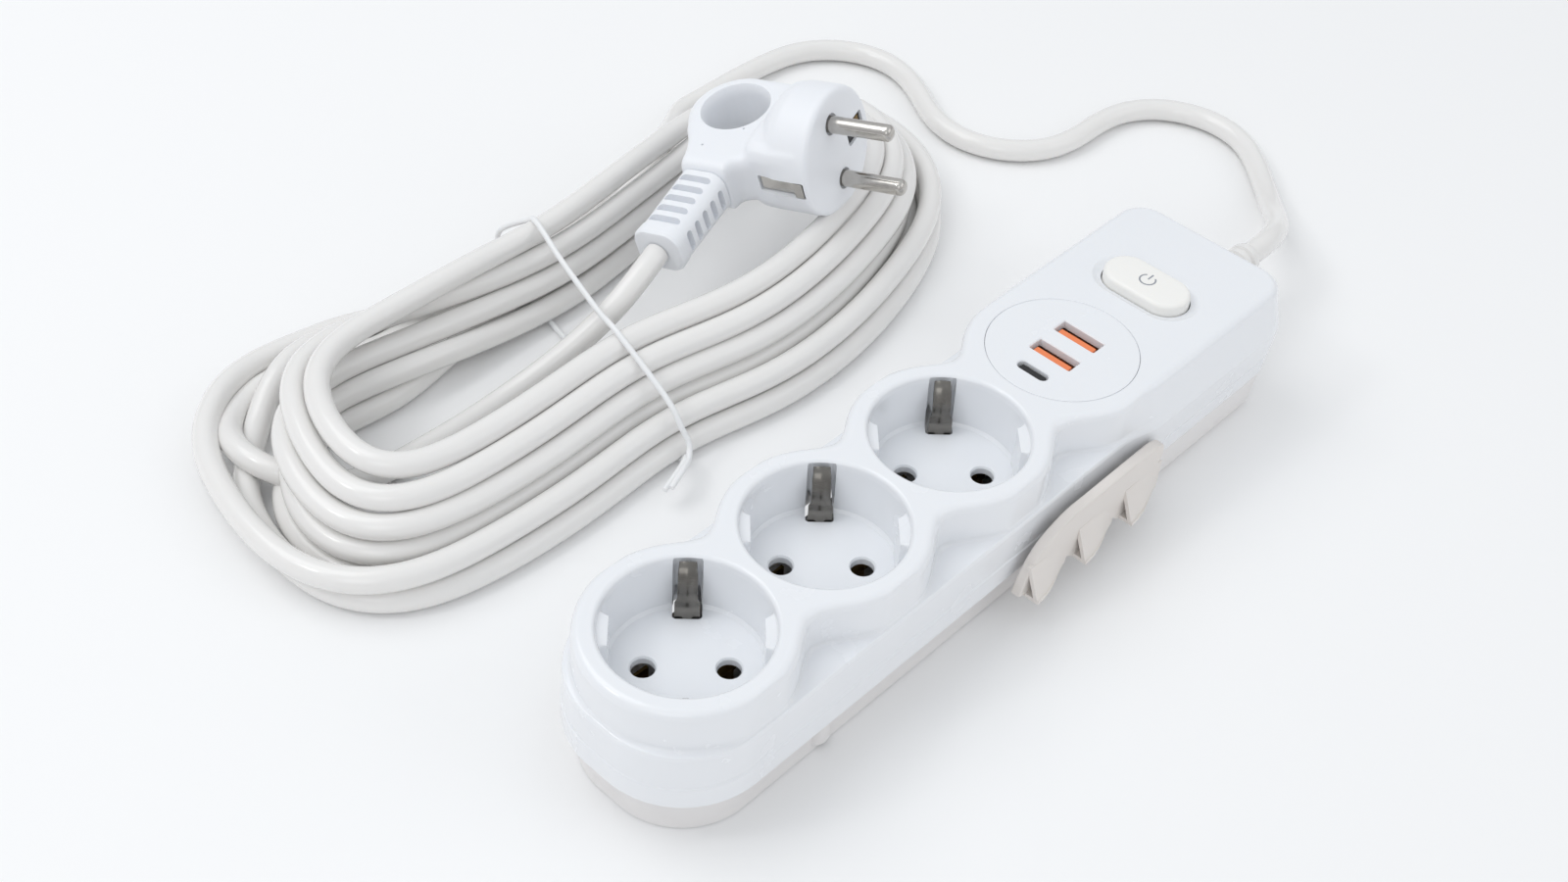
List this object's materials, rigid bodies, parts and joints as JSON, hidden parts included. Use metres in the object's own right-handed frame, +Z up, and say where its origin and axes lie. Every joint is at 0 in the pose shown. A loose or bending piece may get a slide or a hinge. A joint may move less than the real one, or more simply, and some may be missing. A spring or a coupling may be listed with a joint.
{
  "type": "extension cord",
  "caption": "White power strip with earthed round sockets in a scalloped raised deck, a USB disc, a push switch and a side comb, with a tied coil of cord and an angled plug with a finger ring.",
  "frame": {"origin": "centre of the flat underside of the strip's lower shell", "axes": "+X along the strip to the end that the cord leaves, +Z up out of the sockets, +Y to the side away from the cable comb"},
  "size_m": [0.3391, 0.2178, 0.062],
  "materials": {
    "shell_white": "glossy moulded ABS, cool white",
    "tray_white": "satin moulded ABS, slightly warmer white",
    "button_cream": "satin moulded plastic, cream white",
    "comb_beige": "satin moulded plastic, grey beige",
    "plug_white": "satin over-moulded plastic, cool white",
    "cord_white": "smooth glossy flexible sheath, warm white",
    "tie_white": "plastic-coated wire, white",
    "usb_orange": "moulded plastic, orange red",
    "dark_plastic": "matte moulded plastic, black",
    "board_green": "solder-masked circuit board, green",
    "winding_tape": "taped winding, amber",
    "contact_brass": "stamped brass strip",
    "pin_nickel": "turned and nickel-plated brass",
    "clip_nickel": "darkened nickel-plated spring strip",
    "screw_steel": "zinc-plated steel",
    "core_brown": "wire insulation, brown",
    "core_blue": "wire insulation, blue",
    "core_green_yellow": "wire insulation, green and yellow"
  },
  "bodies": {
    "strip": {"top_shell": "shell_white", "bottom_tray": "tray_white", "cable_comb": "comb_beige", "earth_clip_1": "clip_nickel", "earth_clip_2": "clip_nickel", "earth_clip_3": "clip_nickel", "earth_bar": "contact_brass", "live_bar": "contact_brass", "neutral_bar": "contact_brass", "usb_plate": "shell_white", "usb_a_port_1": "pin_nickel", "usb_a_tongue_1": "usb_orange", "usb_a_port_2": "pin_nickel", "usb_a_tongue_2": "usb_orange", "usb_c_port": "pin_nickel", "usb_c_tongue": "dark_plastic", "usb_board": "board_green", "usb_transformer": "winding_tape", "usb_capacitor": "dark_plastic", "button_spring": "screw_steel", "switch_body": "dark_plastic", "switch_terminal_live": "contact_brass", "switch_terminal_load": "contact_brass", "cord_relief": "cord_white", "cord_tail": "cord_white", "cord_clamp": "tray_white", "clamp_screw_1": "screw_steel", "clamp_screw_2": "screw_steel", "case_screw_1": "screw_steel", "case_screw_2": "screw_steel", "case_screw_3": "screw_steel", "case_screw_4": "screw_steel", "case_screw_5": "screw_steel", "case_screw_6": "screw_steel", "live_wire": "core_brown", "switched_wire": "core_brown", "neutral_wire": "core_blue", "earth_wire": "core_green_yellow", "cord_run": "cord_white", "plug_lead": "cord_white", "cord_coil": "cord_white", "wire_tie": "tie_white", "plug_body": "plug_white", "plug_pin_1": "pin_nickel", "plug_pin_2": "pin_nickel", "plug_earth_contact_1": "clip_nickel", "plug_earth_contact_2": "clip_nickel", "plug_relief": "plug_white"},
    "button": {"power_button": "button_cream"},
    "bridge": {"switch_bridge": "contact_brass"}
  },
  "joints": [
    {"name": "button_press", "type": "slide", "parent": "strip", "child": "button", "axis": [0, 0, -1], "range_m": [0, 0.002], "stiffness_N_per_m": 300, "springref_m": -0.003, "deforming": ["button_spring"]},
    {"name": "bridge_slide", "type": "slide", "parent": "strip", "child": "bridge", "axis": [0, 0, -1], "range_m": [0, 0.0017]}
  ],
  "couplings": [
    {"joint": "bridge_slide", "follows": "button_press", "ratio": 0.85}
  ]
}
